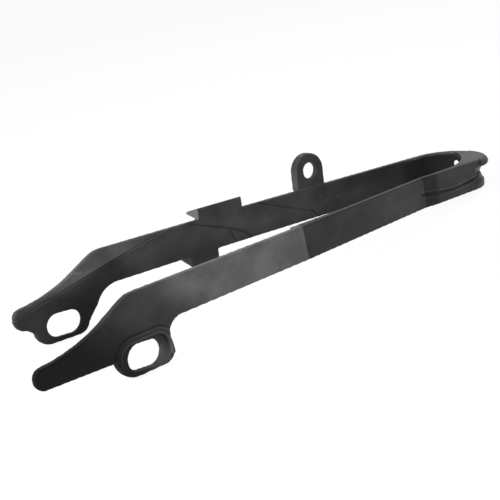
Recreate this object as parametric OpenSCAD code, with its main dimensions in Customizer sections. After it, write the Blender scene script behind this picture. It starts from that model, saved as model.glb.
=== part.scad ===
// Chain slider: a moulded hairpin that wraps the front of a swingarm leg.
// Frame of the drawing: X runs forward along the legs, Y from the near leg to the far one,
// Z up across the width of the strips. Slot centres lie on Z = 0 and the near slot on X = 0.
// The finished part is laid down as it rests, with its datum at the round lug's bore.

/* [Strips] */
// Width of the running strips, edge to edge
strip_w = 24.5; // [22:0.5:30]
// Thickness of the strip walls
wall = 4.3; // [3.6:0.1:5.5]
// Height of the strips' lower edges above the slot centres
strip_rise = 17.5; // [16:0.1:22]
// How much higher the far strip's top edge starts than the near one's
far_rise = 1.3; // [0.4:0.1:2]
// Distance from the slots forward to the crease across each leg
crease_x = 144.4; // [130:0.2:150]
// Turn of the near leg towards the far one, behind its crease, in degrees
near_rear_turn = 3.95; // [2:0.05:5]
// Turn of the near leg in front of its crease, in degrees
near_front_turn = 5.45; // [5:0.05:6.5]
// Turn of the far leg towards the near one, behind its crease, in degrees
far_rear_turn = 2.55; // [1:0.05:4]
// Turn of the far leg in front of its crease, in degrees
far_front_turn = 4.05; // [3:0.05:5.5]

/* [Nose] */
// Distance from the slots forward to the centre of the nose round
nose_x = 347.9; // [340:0.1:380]
// Outer radius of the nose
nose_r = 31.2; // [27:0.1:34]
// Thickness of the nose wall
nose_wall = 5; // [4.6:0.1:6.5]
// Where the near leg's face steps out into the nose
step_x = 285; // [275:1:295]
// How far the step leads out of the leg's line
step_out = 1.6; // [0.6:0.1:2.6]
// Length of the lead-out ramp
step_ramp = 12; // [10:1:20]
// Thickness of the web across the top of the nose
web_t = 4; // [3:0.5:6]
// Radius of the web's open inner edge
web_r = 72; // [60:1:80]
// How far the front lip stands out past the nose
lip_out = 4.2; // [2:0.1:6]
// Thickness of the front lip at its root
lip_t = 6.3; // [5:0.1:10]
// Depth of the chain channel round the nose
channel_d = 3.5; // [1:0.1:4]
// Height of the solid lower band of the nose
band_h = 5.5; // [4:0.5:7]
// Depth of the ledge above the lower band
ledge_d = 1.6; // [0.8:0.1:2]
// Diameter of the small window through the front wall
window_d = 4.6; // [3:0.2:5]

/* [Slotted lugs] */
// Length of the bolt slots, end to end
slot_l = 25.8; // [24:0.1:30]
// Width of the bolt slots
slot_w = 16.3; // [12:0.1:17]
// Depth of the lugs below the slot centres
lug_drop = 10.3; // [9:0.1:14]
// Thickness of the plates round the slots
plate_t = 5; // [4.5:0.5:7]
// Depth of the bolt-head recess in the near lug
recess_d = 3; // [1:0.5:3.5]
// Width of the ridge round that recess
ridge_w = 4.2; // [3:0.2:5]
// Height of that ridge above the leg's face
ridge_h = 0.9; // [0.4:0.1:1.4]

/* [Tails] */
// Length of the near tail behind its slot centre
near_tail = 75.5; // [70:0.1:80]
// Length of the far tail behind its slot centre
far_tail = 33.3; // [30:0.1:40]

/* [Guide tabs] */
// Where the upper tab starts, ahead of the slots
top_tab_x = 118.2; // [105:0.1:125]
// Length of the upper tab
top_tab_l = 40.4; // [30:0.1:46]
// Where the lower tab starts, ahead of the slots
low_tab_x = 107.1; // [95:0.1:115]
// Length of the lower tab
low_tab_l = 24.9; // [20:0.1:34]
// Height of the tabs past the strip's edges
tab_h = 8.5; // [6:0.1:10]
// How far the tabs' lips reach past the chain face
tab_lip = 11.1; // [6:0.1:14]

/* [Round lug] */
// Distance from the slots forward to the bore
bore_x = 227.7; // [215:0.1:240]
// Height of the bore's axis above the strip's top edge
bore_rise = 13.2; // [11:0.1:18]
// Diameter of the bore
bore_d = 12.7; // [8:0.1:14]
// Diameter of the counterbore on the chain side
counterbore_d = 18; // [15:0.5:20]
// Thickness of the bored web
bore_l = 4; // [3:0.5:5]
// Outer radius of the lug
lug_r = 13.7; // [12:0.1:16]
// Thickness of the lug
lug_t = 7.4; // [6:0.1:9]
// How far the lug's inner face is set back from the leg's
lug_set = 1.5; // [0.5:0.5:2.5]

/* [Hidden] */
$fn = 96;
strip_z = strip_rise;
top_z = strip_z + strip_w;
// The legs are cut from stock that runs past every end
stock_rear = -110;
stock_front = nose_x + 60;
stock_side = 40;
stock_z = [-30, 60];
arc_steps = 10;

// Points along an arc about (cx, cz) from angle a to angle b
function arc(cx, cz, r, a, b, n = arc_steps) =
    [for (i = [0:n]) [cx + r * cos(a + (b - a) * i / n), cz + r * sin(a + (b - a) * i / n)]];

// Outer faces of the legs, as Y at a given X
function near_face(x) = x < crease_x
    ? x * tan(near_rear_turn)
    : crease_x * tan(near_rear_turn) + (x - crease_x) * tan(near_front_turn);
nose_y = near_face(step_x) - step_out + nose_r;
far_touch = [nose_x + nose_r * sin(far_front_turn), nose_y + nose_r * cos(far_front_turn)];
far_crease_y = far_touch[1] + (far_touch[0] - crease_x) * tan(far_front_turn);
function far_face(x) = x < crease_x
    ? far_crease_y + (crease_x - x) * tan(far_rear_turn)
    : far_touch[1] + (far_touch[0] - x) * tan(far_front_turn);

// Height of the far strip's top edge at a given X
function far_top(x) = top_z + far_rise * (nose_x - x) / (nose_x - far_bend_x);

// The near leg's front part leans in towards its top edge, so its crease slopes
near_lean = 0.7;
lean_over = 30;
module near_shave() {
    on_near_front() translate([0, 0, strip_z]) rotate([-near_lean, 0, 0])
        translate([-lean_over, -stock_side, -1])
            cube([lean_over + (step_x - crease_x) / cos(near_front_turn), stock_side, stock_side]);
}

// Shallow bevel along the front part's upper outer edge, widest at the step
bevel_x = 195;
bevel_h = 3.2;
bevel_tilt = 14;
module near_bevel() {
    run = step_x - bevel_x;
    on_near_front() translate([bevel_x - crease_x, 0, top_z])
        rotate([0, atan(bevel_h / run), 0]) rotate([-bevel_tilt, 0, 0])
            translate([0, -stock_side, 0]) cube([run, stock_side, stock_side]);
}

// The hairpin's outline from above as a prism from z0 to z1. The legs' lines run just inside
// the nose round, so that they cross it cleanly.
nose_sink = 0.05;
module plan_prism(near_line, inset, round_r, z0, z1) {
    reach = round_r - nose_sink;
    translate([0, 0, z0]) {
        linear_extrude(height = z1 - z0) polygon(concat(near_line, [
            [nose_x, nose_y - reach],
            [nose_x + reach * sin(far_front_turn), nose_y + reach * cos(far_front_turn)],
            [crease_x, far_face(crease_x) - inset],
            [stock_rear, far_face(stock_rear) - inset]
        ]));
        translate([nose_x, nose_y, 0]) cylinder(r = round_r, h = z1 - z0);
    }
}
near_outer = [
    [stock_rear, near_face(stock_rear)],
    [crease_x, near_face(crease_x)],
    [step_x, near_face(step_x)],
    [step_x + step_ramp, nose_y - nose_r + nose_sink]
];

// The inner face carries a thickening round the near crease
rib_start = 135;
rib_l = 57;
rib_t = 3;
near_inner = [
    [stock_rear, near_face(stock_rear) + wall],
    [rib_start, near_face(rib_start) + wall],
    [rib_start, near_face(rib_start) + wall + rib_t],
    [rib_start + rib_l, near_face(rib_start + rib_l) + wall],
    [step_x, near_face(step_x) + wall],
    [step_x + step_ramp, nose_y - nose_r + nose_wall + nose_sink]
];
module outer_plan(z0, z1) {
    plan_prism(near_outer, 0, nose_r, z0, z1);
}
module inner_plan(z0, z1) {
    plan_prism(near_inner, wall, nose_r - nose_wall, z0, z1);
}

// Side outline of the near leg, from its tail to past the nose
bend_r = 22;
sweep_r = 110;
near_bend_x = -3.2;
near_slope = 24.5;
near_tail_slope = 3.6;
near_tail_top = 19.8;
near_tail_low = 6.6;
near_tail_r = 5.7;
near_tail_low_r = 6.2;
near_lug_rear = -21.4;
near_lug_front = 22;
near_lug_rear_r = 14.9;
near_lug_front_r = 8;
near_fillet_r = 10.6;
near_fillet_x = 28.3;
module near_side() {
    polygon(concat(
        [[stock_front, strip_z], [stock_front, top_z]],
        arc(near_bend_x, top_z - bend_r, bend_r, 90, 90 + near_slope),
        tail(near_tail, near_tail_top, near_tail_low, [near_tail_r, near_tail_low_r], near_slope, near_tail_slope),
        arc(near_lug_rear + near_lug_rear_r, near_lug_rear_r - lug_drop, near_lug_rear_r, 180, 270),
        arc(near_lug_front - near_lug_front_r, near_lug_front_r - lug_drop, near_lug_front_r, -90, 0),
        arc(near_fillet_x, strip_z - near_fillet_r, near_fillet_r, 180, 90)
    ));
}

// Side outline of the far leg, whose top edge falls evenly to the nose
far_bend_x = 37.1;
far_slope = 26;
far_tail_slope = 6.7;
far_tail_top = 19.4;
far_tail_low = 4.1;
far_tail_r = 6.1;
far_tail_low_r = 7.5;
far_lug_rear = -20.4;
far_lug_front = 19.1;
far_lug_rear_r = 10.2;
far_lug_front_r = 8.4;
far_lug_lean = 15;
far_fillet_r = 19.1;
far_fillet_x = 45.1;
far_fillet_end = 155;
module far_side() {
    polygon(concat(
        [[stock_front, strip_z], [stock_front, top_z], [nose_x, top_z]],
        arc(far_bend_x, top_z + far_rise - bend_r, bend_r, 90, 90 + far_slope),
        tail(far_tail, far_tail_top, far_tail_low, [far_tail_r, far_tail_low_r], far_slope, far_tail_slope),
        arc(far_lug_rear + far_lug_rear_r, far_lug_rear_r - lug_drop, far_lug_rear_r, 180, 270),
        arc(far_lug_front - far_lug_front_r, far_lug_front_r - lug_drop, far_lug_front_r,
            -90, -far_lug_lean),
        arc(far_fillet_x, strip_z - far_fillet_r, far_fillet_r, far_fillet_end, 90)
    ));
}

// The sweep down to a tail and the tail's own round end
function tail(reach, top, low, r, slope, end_slope) = concat(
    arc(r[0] - reach - (r[0] + sweep_r) * sin(end_slope),
        top - r[0] + (r[0] + sweep_r) * cos(end_slope), sweep_r, slope - 90, end_slope - 90),
    arc(r[0] - reach, top - r[0], r[0], 90 + end_slope, 180),
    arc(r[1] - reach, low + r[1], r[1], 180, 270)
);

// A side outline as a prism that runs in Y from y0 to y1
module across(y0, y1) {
    translate([0, y1, 0]) rotate([90, 0, 0]) linear_extrude(height = y1 - y0) children();
}

// Places that lie along a leg: local X runs forward along its outer face and Y into the wall
module on_near_rear() {
    rotate([0, 0, near_rear_turn]) children();
}
module on_near_front() {
    translate([crease_x, near_face(crease_x), 0]) rotate([0, 0, near_front_turn]) children();
}
module on_far_rear() {
    translate([crease_x, far_crease_y, 0]) rotate([0, 0, -far_rear_turn]) mirror([0, 1, 0])
        translate([-crease_x / cos(far_rear_turn), 0, 0]) children();
}
module on_far_front() {
    translate([crease_x, far_crease_y, 0]) rotate([0, 0, -far_front_turn]) mirror([0, 1, 0])
        children();
}

// A cross-section in (Y, Z), drawn out along local X from x0 to x1
module along(x0, x1) {
    translate([x0, 0, 0]) rotate([90, 0, 90]) linear_extrude(height = x1 - x0) children();
}

// The folded strip with the plates of its lugs, cut to the side outlines of its two legs
module strip_loop() {
    intersection() {
        union() {
            difference() {
                outer_plan(stock_z[0], stock_z[1]);
                inner_plan(stock_z[0] - 1, stock_z[1] + 1);
            }
            near_plate();
            far_plate();
        }
        union() {
            across(-stock_side, nose_y) near_side();
            across(nose_y, nose_y + nose_r + stock_side) far_side();
        }
    }
}

// Outline of the recess in the near lug, open at the bottom, grown by an even margin
recess_top = 12.2;
recess_rear = -19.2;
recess_r = [8.2, 9.5];
recess_front = 16;
recess_flare = 1;
recess_foot = -30;
module recess_outline(grow) {
    polygon(concat(
        [[recess_front + recess_flare * 2 + grow, recess_foot]],
        arc(recess_front - recess_r[1], recess_top - recess_r[1], recess_r[1] + grow, 0, 90),
        arc(recess_rear + recess_r[0], recess_top - recess_r[0], recess_r[0] + grow, 90, 180),
        [[recess_rear - grow, recess_foot]]
    ));
}

// Thick plate of the near lug, with the ridge that borders its recess and ends at its front
ridge_end = -3.2;
ridge_fall = 2;
ridge_front = 19.1;
flank_turn = 53;
flank_lean = 7.3;
flank_top = 10;
module near_plate() {
    on_near_rear() {
        across(-ridge_h, recess_d + plate_t) recess_outline(ridge_w);
        across(0, recess_d + plate_t) translate([0, recess_foot])
            square([stock_side, ridge_end - recess_foot]);
    }
}
module near_recess() {
    on_near_rear() {
        across(-stock_side, recess_d) recess_outline(0);
        across(-stock_side, recess_d) polygon([
            [recess_front - 1, ridge_end], [near_lug_front + 1, ridge_end - ridge_fall],
            [near_lug_front + 1, recess_foot], [recess_front - 1, recess_foot]
        ]);
        translate([ridge_front, -ridge_h, ridge_end]) rotate([0, -flank_lean, 0])
            rotate([0, 0, flank_turn]) translate([-stock_side, -stock_side, recess_foot])
                cube([2 * stock_side, stock_side, flank_top - recess_foot]);
    }
}

// Plate of the far lug, a little proud of the leg's inner face
plate_proud = 0.3;
module far_plate() {
    on_far_rear() across(wall + plate_proud - plate_t, wall + plate_proud)
        recess_outline(ridge_w);
}

// The far leg's inner face is cut back above a line that rises from its tail
facet_x = -34.9;
facet_z = 12.3;
facet_slope = 13.7;
facet_tilt = 6;
facet_l = 150;
facet_over = 12;
module far_facet() {
    on_far_rear() translate([facet_x, wall, facet_z]) rotate([0, -facet_slope, 0])
        rotate([facet_tilt, 0, 0]) translate([-facet_over, 0, 0])
            cube([facet_l, stock_side, 2 * stock_side]);
}

// Shallow panel let into the far leg's inner face, from the tabs to the round lug
panel_d = 0.5;
module far_panel() {
    intersection() {
        across(nose_y, nose_y + 2 * stock_side) polygon([
            [106, 60], [169, 60], [169, 44], [210, 29], [225, 23.5], [231, 16], [164, 16],
            [158.7, 23.3], [154.5, 26.4], [143.9, 30.1], [117.2, 39.5], [106, 43.4]
        ]);
        plan_prism(near_inner, wall - panel_d, nose_r - nose_wall, 0, stock_z[1]);
    }
}

// Groove that leads into the chain channel on the near side
groove_x = 281;
groove_z = 28.7;
groove_l = 26;
groove_w = 3.2;
groove_d = 0.9;
groove_slope = 6.8;
module bead_groove() {
    on_near_front() translate([groove_x - crease_x, groove_d - stock_side, groove_z])
        rotate([0, groove_slope, 0]) translate([0, 0, -groove_w / 2])
            cube([groove_l, stock_side, groove_w]);
}

// One bolt slot, cut right through along Y, with its front end lowered by a small slope. It is
// a little wider on the leg's outer side, up to the depth given
near_slot_slope = 5;
near_slot_x = 0.4;
near_slot_z = 0.6;
far_slot_slope = 2.8;
far_slot_x = 1.1;
far_slot_z = 0.9;
slot_rim = 0.4;
rim_share = 0.55;
module bolt_slot(slope, rim_at) {
    reach = (slot_l - slot_w) / 2;
    rotate([0, slope, 0]) {
        across(-stock_side, stock_side) {
            for (x = [-reach, reach]) translate([x, 0]) circle(d = slot_w);
            square([2 * reach, slot_w], center = true);
        }
        across(-stock_side, rim_at) {
            for (x = [-reach, reach]) translate([x, 0]) circle(d = slot_w + 2 * slot_rim);
            square([2 * reach, slot_w + 2 * slot_rim], center = true);
        }
    }
}

// Hooked chain guide along one edge of the far leg: its section grows from the edge upwards
tab_root = 3;
tab_fall = 4.3;
tab_tip = 1.6;
tab_slope = tab_fall / (wall + tab_lip);
tab_rise = (tab_h - tab_fall - tab_tip) / tab_lip;
tab_seat = 0.4;
tab_spare = 2;
module tab_section() {
    polygon([
        [wall + tab_spare, -tab_root],
        [wall + tab_spare, tab_h + tab_spare * tab_slope],
        [-tab_lip - tab_spare, tab_h - tab_fall - tab_spare * tab_slope],
        [-tab_lip - tab_spare, (tab_lip + tab_spare) * tab_rise],
        [0, 0],
        [tab_seat, 0],
        [tab_seat, -tab_root]
    ]);
}

// One tab from x0 to x1: its plan bends with the leg where it passes the crease
module tab_bar(x0, x1) {
    stops = x0 < crease_x && x1 > crease_x ? [x0, crease_x, x1] : [x0, x1];
    last = len(stops) - 1;
    intersection() {
        translate([0, 0, -tab_root]) linear_extrude(height = tab_root + tab_h) polygon(concat(
            [for (x = stops) [x, far_face(x) - wall]],
            [for (i = [0:last]) [stops[last - i], far_face(stops[last - i]) + tab_lip]]
        ));
        translate([x0, far_face(x0), 0])
            rotate([0, 0, atan((far_face(x1) - far_face(x0)) / (x1 - x0))])
                mirror([0, 1, 0]) along(-tab_spare, x1 - x0 + tab_spare) tab_section();
    }
}
module guide_tabs() {
    translate([0, 0, far_top(top_tab_x)]) tab_bar(top_tab_x, top_tab_x + top_tab_l);
    translate([0, 0, strip_z]) mirror([0, 0, 1]) tab_bar(low_tab_x, low_tab_x + low_tab_l);
}

// Round lug on the far leg's upper edge, with a sloping foot on the chain side
lug_z = far_top(bore_x);
bore_z = lug_z + bore_rise;
bore_s = (bore_x - crease_x) / cos(far_front_turn);
lug_in = wall - lug_set;
lug_out = lug_in - lug_t;
lug_root = 3;
module round_lug() {
    on_far_front() {
        translate([bore_s, lug_in, bore_z]) rotate([90, 0, 0]) cylinder(r = lug_r, h = lug_t);
        along(bore_s - lug_r, bore_s + lug_r) polygon([[lug_in, lug_z - lug_root],
            [lug_in, bore_z], [lug_out, bore_z], [lug_out, lug_z], [0, lug_z + lug_out],
            [0, lug_z - lug_root]]);
    }
}
module lug_bore() {
    on_far_front() translate([bore_s, lug_in, bore_z]) rotate([90, 0, 0]) {
        translate([0, 0, -1]) cylinder(d = bore_d, h = lug_t + 2);
        translate([0, 0, bore_l]) cylinder(d = counterbore_d, h = lug_t);
    }
}

// Web across the top of the nose, bounded inside by one long curve
web_x = nose_x - 37.7;
module nose_web() {
    difference() {
        outer_plan(top_z - web_t, top_z);
        translate([web_x, nose_y - nose_r + wall + web_r, 0]) cylinder(r = web_r, h = 2 * top_z);
        translate([stock_rear - 1, -stock_side, 0])
            cube([web_x - stock_rear + 1, nose_r * 2 + 4 * stock_side, 2 * top_z]);
    }
}

// Lip that stands out from the front of the web
lip_span = [-75, 0];
lip_root = 6;
module front_lip() {
    translate([nose_x, nose_y, 0]) rotate([0, 0, lip_span[0]])
        rotate_extrude(angle = lip_span[1] - lip_span[0]) polygon([
            [nose_r - lip_root, top_z],
            [nose_r + lip_out * 0.3, top_z],
            [nose_r + lip_out * 0.8, top_z - lip_t * 0.3],
            [nose_r + lip_out, top_z - lip_t * 0.65],
            [nose_r + lip_out * 0.85, top_z - lip_t * 0.9],
            [nose_r - 1, top_z - lip_t - 0.8],
            [nose_r - lip_root, top_z - lip_t - 0.8]
        ]);
}

// Chain channel round the nose, with a ledge above the solid lower band
channel_lead = 58;
channel_turn = atan(channel_d / channel_lead);
channel_over = 3;
channel_air = 12;
band_z = strip_z + band_h;
channel_points = [
    [-channel_air, top_z - lip_t + 0.4],
    [-lip_out, top_z - lip_t + 0.4],
    [0.8, top_z - lip_t - 0.8],
    [channel_d, band_z + 7.4],
    [channel_d, band_z + 6.4],
    [ledge_d + 0.4, band_z + 3.4],
    [ledge_d, band_z + 1.6],
    [ledge_d * 0.4, band_z + 0.5],
    [-0.1, band_z],
    [-channel_air, band_z]
];
module channel_run() {
    rotate([0, 0, channel_turn]) along(-2 * channel_lead, 0) polygon(channel_points);
}
module chain_channel() {
    translate([nose_x, nose_y, 0]) rotate([0, 0, -90 - channel_over])
        rotate_extrude(angle = 180 - far_front_turn + 2 * channel_over)
            polygon([for (p = channel_points) [nose_r - p[0], p[1]]]);
    translate([nose_x, nose_y - nose_r, 0]) channel_run();
    translate([far_touch[0], far_touch[1], 0]) rotate([0, 0, -far_front_turn])
        mirror([0, 1, 0]) channel_run();
}

// Small window through the front wall, under the web
window_angle = 18.4;
window_z = top_z - 10;
module front_window() {
    translate([nose_x, nose_y, window_z]) rotate([0, 90, window_angle])
        cylinder(d = window_d, h = 2 * nose_r);
}

// The part lies on its lugs and the front of its nose, with the datum at the bore
rest_tilt = atan((strip_z + lug_drop) / (nose_x + nose_r - near_lug_front + near_lug_front_r));
datum = [
    crease_x + bore_s * cos(far_front_turn) - lug_in * sin(far_front_turn),
    far_crease_y - bore_s * sin(far_front_turn) - lug_in * cos(far_front_turn),
    bore_z
];

module chain_slider() {
    color("#26282a") rotate([0, rest_tilt, 0]) translate(-datum) difference() {
        union() {
            strip_loop();
            guide_tabs();
            round_lug();
            nose_web();
            front_lip();
        }
        near_shave();
        near_bevel();
        far_facet();
        far_panel();
        chain_channel();
        bead_groove();
        front_window();
        near_recess();
        on_near_rear() translate([near_slot_x, 0, near_slot_z])
            bolt_slot(near_slot_slope, recess_d + plate_t * rim_share);
        on_far_rear() translate([far_slot_x, 0, far_slot_z])
            bolt_slot(far_slot_slope, wall + plate_proud - plate_t * rim_share);
        lug_bore();
    }
}

chain_slider();
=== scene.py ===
import math

import bpy
from mathutils import Matrix, Vector


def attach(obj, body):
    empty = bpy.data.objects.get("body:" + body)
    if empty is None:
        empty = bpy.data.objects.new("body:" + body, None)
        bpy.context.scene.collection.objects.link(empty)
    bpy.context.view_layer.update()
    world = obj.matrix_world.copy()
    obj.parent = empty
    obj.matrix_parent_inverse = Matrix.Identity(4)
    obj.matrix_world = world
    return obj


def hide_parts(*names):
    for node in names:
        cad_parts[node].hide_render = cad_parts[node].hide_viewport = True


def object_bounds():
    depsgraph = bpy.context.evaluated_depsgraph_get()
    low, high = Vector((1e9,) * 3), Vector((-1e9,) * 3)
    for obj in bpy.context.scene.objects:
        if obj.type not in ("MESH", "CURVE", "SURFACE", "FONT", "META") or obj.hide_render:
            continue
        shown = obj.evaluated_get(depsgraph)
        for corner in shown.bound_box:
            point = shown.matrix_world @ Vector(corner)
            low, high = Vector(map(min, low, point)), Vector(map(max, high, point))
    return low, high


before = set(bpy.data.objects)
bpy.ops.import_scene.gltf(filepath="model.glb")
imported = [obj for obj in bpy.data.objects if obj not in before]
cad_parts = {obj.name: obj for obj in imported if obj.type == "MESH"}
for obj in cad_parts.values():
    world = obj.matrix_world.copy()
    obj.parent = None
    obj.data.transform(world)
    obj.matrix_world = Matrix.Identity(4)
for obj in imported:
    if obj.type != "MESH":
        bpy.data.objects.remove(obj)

cad_low, cad_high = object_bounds()

# The part lies on a pale floor, on its two slotted lugs and the front of its nose.
# The floor is wide and level, just under the lowest point.
floor_level = cad_low.z
bpy.ops.mesh.primitive_plane_add(size=30, location=(0, 0, floor_level))
floor = bpy.context.object
floor.name = "floor"

floor_paint = bpy.data.materials.new("pale_floor")
floor_paint.use_nodes = True
nodes, links = floor_paint.node_tree.nodes, floor_paint.node_tree.links
nodes.clear()
seen = nodes.new("ShaderNodeLightPath")
matt = nodes.new("ShaderNodeBsdfDiffuse")
matt.inputs["Color"].default_value = (0.9, 0.9, 0.9, 1)
white = nodes.new("ShaderNodeEmission")
white.inputs["Color"].default_value = (1, 1, 1, 1)
direct = nodes.new("ShaderNodeMath")
direct.operation = "MAXIMUM"
also = nodes.new("ShaderNodeMath")
also.operation = "MAXIMUM"
share = nodes.new("ShaderNodeMath")
share.operation = "MULTIPLY"
share.inputs[1].default_value = 0.9
pick = nodes.new("ShaderNodeMixShader")
out = nodes.new("ShaderNodeOutputMaterial")
links.new(seen.outputs["Is Camera Ray"], direct.inputs[0])
links.new(seen.outputs["Is Glossy Ray"], direct.inputs[1])
links.new(direct.outputs[0], also.inputs[0])
links.new(seen.outputs["Is Transmission Ray"], also.inputs[1])
links.new(also.outputs[0], share.inputs[0])
links.new(share.outputs[0], pick.inputs[0])
links.new(matt.outputs[0], pick.inputs[1])
links.new(white.outputs[0], pick.inputs[2])
links.new(pick.outputs[0], out.inputs["Surface"])
floor.data.materials.append(floor_paint)

# The whole part is one moulding in black, slightly worn plastic. A copy of the CAD solid is
# merged and rebuilt on a fine even grid, so that all its moulded edges can be rounded alike.
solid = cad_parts["chain_slider"]
bpy.ops.object.select_all(action="DESELECT")
solid.select_set(True)
bpy.context.view_layer.objects.active = solid
bpy.ops.object.duplicate()
moulding = bpy.context.object
moulding.name = "rounded_moulding"
bpy.ops.object.mode_set(mode="EDIT")
bpy.ops.mesh.select_all(action="SELECT")
bpy.ops.mesh.remove_doubles(threshold=0.00001)
bpy.ops.object.mode_set(mode="OBJECT")

# The short groove at the step is first filled from within, because the frame's one runs too deep
# at its front end. It is moulded afresh below, shallower, and the grid merges the plug in.
turn = math.radians(4.3543)
plug = bpy.data.meshes.new("plug")
plan = ((280, 23.3), (285, 23.75), (297, 22.15), (309, 22.15), (309, 25.3), (280, 26.2))
points = []
for h in (23.6, 31.4):
    for u, w in plan:
        dx, dz = u - 227.502, h - 55.703
        points.append((
            (math.cos(turn) * dx + math.sin(turn) * dz) / 1000,
            (w - 89.981) / 1000,
            (math.cos(turn) * dz - math.sin(turn) * dx) / 1000))
sides = [(i, (i + 1) % 6, (i + 1) % 6 + 6, i + 6) for i in range(6)]
plug.from_pydata(points, [], [(5, 4, 3, 2, 1, 0), (6, 7, 8, 9, 10, 11)] + sides)
filler = bpy.data.objects.new("plug", plug)
bpy.context.scene.collection.objects.link(filler)
bpy.ops.object.select_all(action="DESELECT")
filler.select_set(True)
moulding.select_set(True)
bpy.context.view_layer.objects.active = moulding
bpy.ops.object.join()

grid = moulding.modifiers.new("grid", "REMESH")
grid.mode = "VOXEL"
grid.voxel_size = 0.00058
bpy.ops.object.modifier_apply(modifier="grid")
ease = moulding.modifiers.new("ease", "SMOOTH")
ease.factor = 0.5
ease.iterations = 2
bpy.ops.object.modifier_apply(modifier="ease")

# On the near side of the nose two low beads lead from the step into the chain channel, with a
# narrow groove between them. Above the upper bead the wall is filled out to an even band.
upper_bead = ((279, 30.7), (290, 29.6), (306, 27.4), (318, 26.3), (329, 27.1), (342, 28.6), (360, 30.0))
lower_bead = ((279, 27.0), (282, 26.7), (302, 24.1), (318, 23.9), (335, 24.4), (349, 25.4), (360, 26.0))


def height_at(line, u):
    for (u0, h0), (u1, h1) in zip(line, line[1:]):
        if u <= u1:
            return h0 + (h1 - h0) * max(0.0, (u - u0) / (u1 - u0))
    return line[-1][1]


def ease_in(t):
    t = min(1.0, max(0.0, t))
    return t * t * (3 - 2 * t)


facing = [v.normal.y for v in moulding.data.vertices]
for v, turned in zip(moulding.data.vertices, facing):
    u = 227.502 + 1000 * (math.cos(turn) * v.co.x - math.sin(turn) * v.co.z)
    w = 89.981 + 1000 * v.co.y
    h = 55.703 + 1000 * (math.sin(turn) * v.co.x + math.cos(turn) * v.co.z)
    if not (279 < u < 348 and w < 30 and 18 < h < 40.5 and turned < 0.35):
        continue
    skin_w = 23.385 + (u - 285) * 0.0954 if u < 285 else 23.385 - 1.6 * min(1, (u - 285) / 12)
    depth = w - skin_w
    if not -0.6 < depth < 3.9:
        continue
    top, low = height_at(upper_bead, u), height_at(lower_bead, u)
    start = ease_in((u - 279) / 4)
    floor_depth = max(1.1, (u - 305) * 0.055)
    inside = ease_in((top - 0.1 - h) / 0.7) * ease_in((h - low - 0.2) / 0.6) * start
    if inside > 0:
        v.co.y += (floor_depth * inside - depth) / 1000
    elif depth > 0.3 and u > 291 and (h > top - 0.2 or u < 314):
        v.co.y -= depth / 1000
    if h > top - 0.3 or low + 0.4 > h > low - 1.4:
        bead = min(abs(h - top - 0.4), abs(h - low + 0.3))
        v.co.y -= 0.00045 * start * math.exp(-(bead / 0.55) ** 2)

regrid = moulding.modifiers.new("regrid", "REMESH")
regrid.mode = "VOXEL"
regrid.voxel_size = 0.00058
bpy.ops.object.modifier_apply(modifier="regrid")
even = moulding.modifiers.new("even", "SMOOTH")
even.factor = 0.5
even.iterations = 1
bpy.ops.object.modifier_apply(modifier="even")
thin = moulding.modifiers.new("thin", "DECIMATE")
thin.ratio = 0.47
bpy.ops.object.modifier_apply(modifier="thin")
bpy.ops.object.shade_smooth()
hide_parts("chain_slider")
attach(moulding, "root")

# One black plastic for all of it. Handling has left it dull and cloudy. Its colour also carries painted light
# and shade: painted light on the near leg behind its crease, and painted shade on the tails, the front legs and the
# recesses.
black = bpy.data.materials.new("black_moulding")
black.use_nodes = True
n, l = black.node_tree.nodes, black.node_tree.links
skin = n["Principled BSDF"]
place = n.new("ShaderNodeTexCoord")
axes = n.new("ShaderNodeSeparateXYZ")
l.new(place.outputs["Object"], axes.inputs[0])


def calc(kind, *terms):
    node = n.new("ShaderNodeMath")
    node.operation = kind
    for i, term in enumerate(terms):
        if isinstance(term, (int, float)):
            node.inputs[i].default_value = term
        else:
            l.new(term, node.inputs[i])
    return node.outputs[0]


def step_over(field, low, high, start=0.0, end=1.0):
    node = n.new("ShaderNodeMapRange")
    node.interpolation_type = "SMOOTHSTEP"
    l.new(field, node.inputs["Value"])
    for key, value in (("From Min", low), ("From Max", high), ("To Min", start), ("To Max", end)):
        node.inputs[key].default_value = value
    return node.outputs[0]


def blend(a, b, share):
    return calc("ADD", calc("MULTIPLY", a, calc("SUBTRACT", 1.0, share)), calc("MULTIPLY", b, share))


def clouds(size, detail, stretch=(1, 1, 1)):
    lie = n.new("ShaderNodeMapping")
    lie.inputs["Scale"].default_value = stretch
    l.new(place.outputs["Object"], lie.inputs["Vector"])
    node = n.new("ShaderNodeTexNoise")
    node.inputs["Scale"].default_value = 1 / size
    node.inputs["Detail"].default_value = detail
    l.new(lie.outputs[0], node.inputs["Vector"])
    return node.outputs["Fac"]


x, y, z = axes.outputs[0], axes.outputs[1], axes.outputs[2]

# The near leg, in painted light and shade: painted shade on the tail, a painted lit run up to the slanted crease,
# and painted shade on the front, with a paler patch.
crease = calc("ADD", x, calc("MULTIPLY", z, 0.05))
sweep = calc("ADD", x, calc("MULTIPLY", z, 0.9))
tail = step_over(sweep, -0.29, -0.232, 0.001, 0.028)
body = calc("ADD", tail, step_over(sweep, -0.230, -0.192, 0.0, 0.058))
front = calc("ADD", 0.020, step_over(x, -0.02, 0.020, 0.0, 0.010))
front = calc("SUBTRACT", front, step_over(x, 0.035, 0.055, 0.0, 0.006))
near = blend(body, front, step_over(crease, -0.0889, -0.0869))
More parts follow.
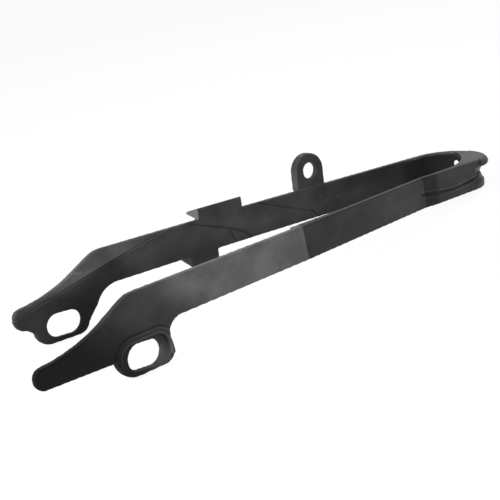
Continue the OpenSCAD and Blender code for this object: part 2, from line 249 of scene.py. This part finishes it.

# The far leg, in painted light and shade: its upper facet painted paler behind, where it faces the light, and
# painted shade towards the nose, round the lug and along its lower edge.
along = calc("SUBTRACT", calc("MULTIPLY", x, 0.9971), calc("MULTIPLY", z, 0.0759))
along = calc("ADD", along, 0.2275)
height = calc("ADD", calc("MULTIPLY", x, 0.0759), calc("MULTIPLY", z, 0.9971))
height = calc("ADD", height, 0.0557)
facet = calc("SUBTRACT", z, calc("MULTIPLY", calc("ADD", x, 0.2627), 0.1638))
upper = step_over(facet, -0.0213, -0.0207)
rear_low = step_over(calc("ADD", z, calc("MULTIPLY", x, 0.3)), -0.108, -0.075, 0.010, 0.030)
rear_high = step_over(x, -0.2, -0.12, 0.052, 0.036)
front_far = step_over(x, -0.06, 0.08, 0.032, 0.016)
rear_low = calc("ADD", rear_low, step_over(x, -0.250, -0.228, 0.020, 0.0))
lug_shade = calc("MULTIPLY", step_over(calc("SUBTRACT", along, height), -0.022, 0.006), step_over(x, -0.19, -0.16, 1.0, 0.0))
rear_low = calc("MULTIPLY", rear_low, calc("SUBTRACT", 1.0, calc("MULTIPLY", lug_shade, 0.6)))
low_shade = step_over(height, 0.014, 0.032, 0.6, 1.12)
far = blend(blend(rear_low, rear_high, upper), front_far, step_over(x, -0.095, -0.07))
far = calc("MULTIPLY", far, low_shade)

# The two legs meet round the nose. Its inside is painted in shade, and the top of its web and lip is painted paler.
side = step_over(y, -0.046, -0.028)
reach_u = calc("MAXIMUM", calc("SUBTRACT", along, 0.3479), 0.0)
reach_w = calc("ADD", y, 0.0370)
reach = calc("SQRT", calc("ADD", calc("MULTIPLY", reach_u, reach_u), calc("MULTIPLY", reach_w, reach_w)))
within = calc("MULTIPLY", step_over(reach, 0.0272, 0.0285, 1.0, 0.0), step_over(along, 0.27, 0.31))
within = calc("MULTIPLY", within, step_over(height, 0.0392, 0.0404, 1.0, 0.0))
side = calc("MAXIMUM", side, within)
tone = blend(near, far, side)
tone = calc("MULTIPLY", tone, calc("SUBTRACT", 1.0, calc("MULTIPLY", within, 0.6)))
on_web = calc("MULTIPLY", step_over(height, 0.0400, 0.0412), step_over(along, 0.322, 0.345))
tone = calc("ADD", tone, calc("MULTIPLY", on_web, 0.028))

# Faces that look back along the legs: painted light on the tab's cut end, where it faces the light, and painted
# shade on the near lug's flank.
outside = n.new("ShaderNodeNewGeometry")
turned = n.new("ShaderNodeSeparateXYZ")
l.new(outside.outputs["Normal"], turned.inputs[0])
backward = step_over(turned.outputs[0], -0.6, -0.25, 1.0, 0.0)
lit_tab_end = calc("MULTIPLY", step_over(along, 0.1172, 0.1180), step_over(along, 0.1192, 0.1198, 1.0, 0.0))
lit_tab_end = calc("MULTIPLY", calc("MULTIPLY", lit_tab_end, step_over(height, 0.0405, 0.042)), backward)
tone = calc("ADD", tone, calc("MULTIPLY", lit_tab_end, 0.04))
flank_shade = calc("MULTIPLY", step_over(along, -0.012, -0.008, 1.0, 0.0), step_over(height, 0.004, 0.007, 1.0, 0.0))
flank_shade = calc("MULTIPLY", calc("MULTIPLY", flank_shade, step_over(y, -0.05, -0.04, 1.0, 0.0)), backward)
tone = calc("MULTIPLY", tone, calc("SUBTRACT", 1.0, calc("MULTIPLY", flank_shade, 0.7)))

# Lines laid out along the legs on their moulded beads, creases and steps: paler lines are painted highlights on
# edges that face the light, and darker ones are painted shade in grooves and under steps. There are also a few
# short paler marks.
def stroke(points, width):
    best = None
    for (u0, h0), (u1, h1) in zip(points, points[1:]):
        du, dh = (u1 - u0) / 1000, (h1 - h0) / 1000
        pu = calc("SUBTRACT", along, u0 / 1000)
        ph = calc("SUBTRACT", height, h0 / 1000)
        reach = calc("ADD", calc("MULTIPLY", pu, du), calc("MULTIPLY", ph, dh))
        t = calc("MINIMUM", calc("MAXIMUM", calc("DIVIDE", reach, du * du + dh * dh), 0.0), 1.0)
        gu = calc("SUBTRACT", pu, calc("MULTIPLY", t, du))
        gh = calc("SUBTRACT", ph, calc("MULTIPLY", t, dh))
        gap = calc("SQRT", calc("ADD", calc("MULTIPLY", gu, gu), calc("MULTIPLY", gh, gh)))
        best = gap if best is None else calc("MINIMUM", best, gap)
    return step_over(best, width * 0.0003, width * 0.001, 1.0, 0.0)


near_only = calc("SUBTRACT", 1.0, side)
# Near side: painted highlights along the two beads, painted shade in the groove between them, at the step and
# beside the lug's ridge, and short paler marks.
for points, width, change in (
    (((-26.5, 28.5), (-23, 25), (-20.4, 24)), 1.2, -0.45),
    (((173, 41.5), (182.4, 30.1)), 0.5, 0.25),
    (((158, 27.6), (160, 27.2)), 0.8, 0.5),
    (((195.5, 29.4), (197.5, 29.2)), 0.8, 0.5),
    (((279, 29.0), (306, 25.8), (318, 25.1), (342, 26.7), (358, 28)), 1.1, -0.6),
    (((281, 31.1), (306, 27.9), (318, 26.8), (342, 29.2), (358, 30.6)), 0.8, 1.2),
    (((282, 26.6), (302, 23.9), (335, 24.2), (349, 25.3)), 0.8, 0.9),
    (((285, 16), (285.6, 42)), 0.8, -0.35),
):
    mark = calc("MULTIPLY", stroke(points, width), near_only)
    tone = calc("MULTIPLY", tone, calc("ADD", 1.0, calc("MULTIPLY", mark, change)))
# Far side: painted highlights and painted shade along its creases and steps, and a few short paler marks.
for points, width, change in (
    (((-36, 12.2), (60, 35.6), (94, 43.8)), 0.45, 0.8),
    (((-36, 11.4), (60, 34.8), (99, 44)), 0.45, -0.3),
    (((106, 43.4), (117.2, 39.5), (143.9, 30.1), (158.7, 23.3), (164, 17.5)), 0.8, -0.5),
    (((144.5, 28.1), (147.9, 20.2)), 1.1, -0.5),
    (((169, 44), (210, 29), (225, 23.5)), 0.8, -0.6),
    (((223.2, 25.2), (230.5, 17.7)), 1.2, -0.6),
    (((233, 33.8), (234.5, 33)), 1.0, 0.8),
    (((251.5, 29.3), (253, 28.8)), 1.0, 0.8),
    (((341, 36.6), (342, 36.2)), 1.2, 0.8),
    (((15, 31.6), (19, 31.0)), 1.0, 0.4),
):
    mark = calc("MULTIPLY", stroke(points, width), side)
    tone = calc("MULTIPLY", tone, calc("ADD", 1.0, calc("MULTIPLY", mark, change)))

# The ridge round the near recess: painted highlights on its two crests, painted shade at its foot and inside.
ru = calc("MAXIMUM", calc("SUBTRACT", calc("ABSOLUTE", calc("ADD", along, 0.0016)), 0.0087), 0.0)
rh = calc("MAXIMUM", calc("SUBTRACT", height, 0.0033), 0.0)
ring = calc("SQRT", calc("ADD", calc("MULTIPLY", ru, ru), calc("MULTIPLY", rh, rh)))
ring = calc("SUBTRACT", ring, 0.0089)
for centre, width, change in ((0.0048, 0.0007, -0.5), (0.0036, 0.0006, 0.5), (0.0024, 0.0005, -0.2), (0.0009, 0.0007, 0.6), (-0.0006, 0.0009, -0.5)):
    off = calc("ABSOLUTE", calc("SUBTRACT", ring, centre))
    mark = calc("MULTIPLY", step_over(off, width * 0.4, width * 1.2, 1.0, 0.0), near_only)
    tone = calc("MULTIPLY", tone, calc("ADD", 1.0, calc("MULTIPLY", mark, change)))
# Painted light on the recess floor, growing towards its front and bottom.
recess = calc("MULTIPLY", step_over(ring, 0.0014, 0.0024, 1.0, 0.0), near_only)
floor_light = step_over(calc("SUBTRACT", along, height), 0.002, 0.022, 0.002, 0.030)
tone = calc("ADD", tone, calc("MULTIPLY", recess, floor_light))
# Painted shade on the ramp at the step.
ramp_at = calc("ADD", along, calc("MULTIPLY", calc("SUBTRACT", height, 0.033), 0.085))
ramp_shade = calc("MULTIPLY", step_over(ramp_at, 0.2825, 0.2850), step_over(ramp_at, 0.2972, 0.3008, 1.0, 0.0))
tone = calc("MULTIPLY", tone, calc("SUBTRACT", 1.0, calc("MULTIPLY", calc("MULTIPLY", ramp_shade, near_only), 0.55)))

# The sides that look away from the camera are left plain, with none of these marks.
hidden = step_over(turned.outputs[1], 0.1, 0.4)
tone = blend(tone, 0.022, hidden)

# Cloudy patches and fine upright streaks over everything.
patches = step_over(clouds(0.028, 5, (1, 1, 1.5)), 0.32, 0.68, 0.76, 1.2)
streaks = step_over(clouds(0.006, 3, (1, 1, 0.5)), 0.3, 0.7, 0.96, 1.04)
grain = step_over(clouds(0.0012, 2), 0.3, 0.7, 0.95, 1.05)
tone = calc("MULTIPLY", calc("MULTIPLY", tone, patches), calc("MULTIPLY", streaks, grain))

paint = n.new("ShaderNodeCombineColor")
for i in range(3):
    l.new(tone, paint.inputs[i])
l.new(paint.outputs[0], skin.inputs["Base Color"])
rear = calc("MULTIPLY", backward, step_over(along, 0.05, 0.06, 1.0, 0.0))
dull = calc("MAXIMUM", within, rear)
l.new(calc("ADD", 0.4, calc("MULTIPLY", dull, 0.45)), skin.inputs["Roughness"])
skin.inputs["Specular IOR Level"].default_value = 0.15
moulding.data.materials.clear()
moulding.data.materials.append(black)

# Camera at the photograph's angle, with its lens.
right = Vector((0.74178, -0.645907, -0.180463))
up = Vector((0.339768, 0.129948, 0.931489))
back = Vector((-0.578204, -0.752275, 0.315851))
eye = bpy.data.cameras.new("camera")
eye.sensor_width = 36
eye.lens = 68.38
eye.clip_start, eye.clip_end = 0.01, 50
camera = bpy.data.objects.new("camera", eye)
bpy.context.scene.collection.objects.link(camera)
camera.matrix_world = Matrix((
    (right.x, up.x, back.x, -0.489023),
    (right.y, up.y, back.y, -0.540775),
    (right.z, up.z, back.z, 0.186601),
    (0, 0, 0, 1)))
bpy.context.scene.camera = camera

# Soft light from above and the left, with a white surround.
world = bpy.data.worlds.new("surround")
bpy.context.scene.world = world
world.use_nodes = True
wn, wl = world.node_tree.nodes, world.node_tree.links
wn["Background"].inputs["Color"].default_value = (1, 1, 1, 1)
seen = wn.new("ShaderNodeLightPath")
glow = wn.new("ShaderNodeMath")
glow.operation = "MULTIPLY_ADD"
glow.inputs[1].default_value = 0.4
glow.inputs[2].default_value = 0.6
wl.new(seen.outputs["Is Camera Ray"], glow.inputs[0])
wl.new(glow.outputs[0], wn["Background"].inputs["Strength"])

def soft_lamp(name, size, power, place, aim):
    lamp = bpy.data.lights.new(name, "AREA")
    lamp.size = size
    lamp.energy = power
    o = bpy.data.objects.new(name, lamp)
    o.location = place
    o.rotation_euler = (Vector(aim) - Vector(place)).to_track_quat("-Z", "Y").to_euler()
    bpy.context.scene.collection.objects.link(o)

soft_lamp("rear", 0.4, 22, (-1.3, -0.05, 0.35), (-0.1, 0, 0))
soft_lamp("key", 1.2, 12, (-0.6, -0.7, 1.2), (0, 0, 0))
soft_lamp("fill", 1.5, 6, (0.8, 0.6, 1.2), (0, 0, 0))

bpy.context.scene.view_settings.view_transform = "Standard"
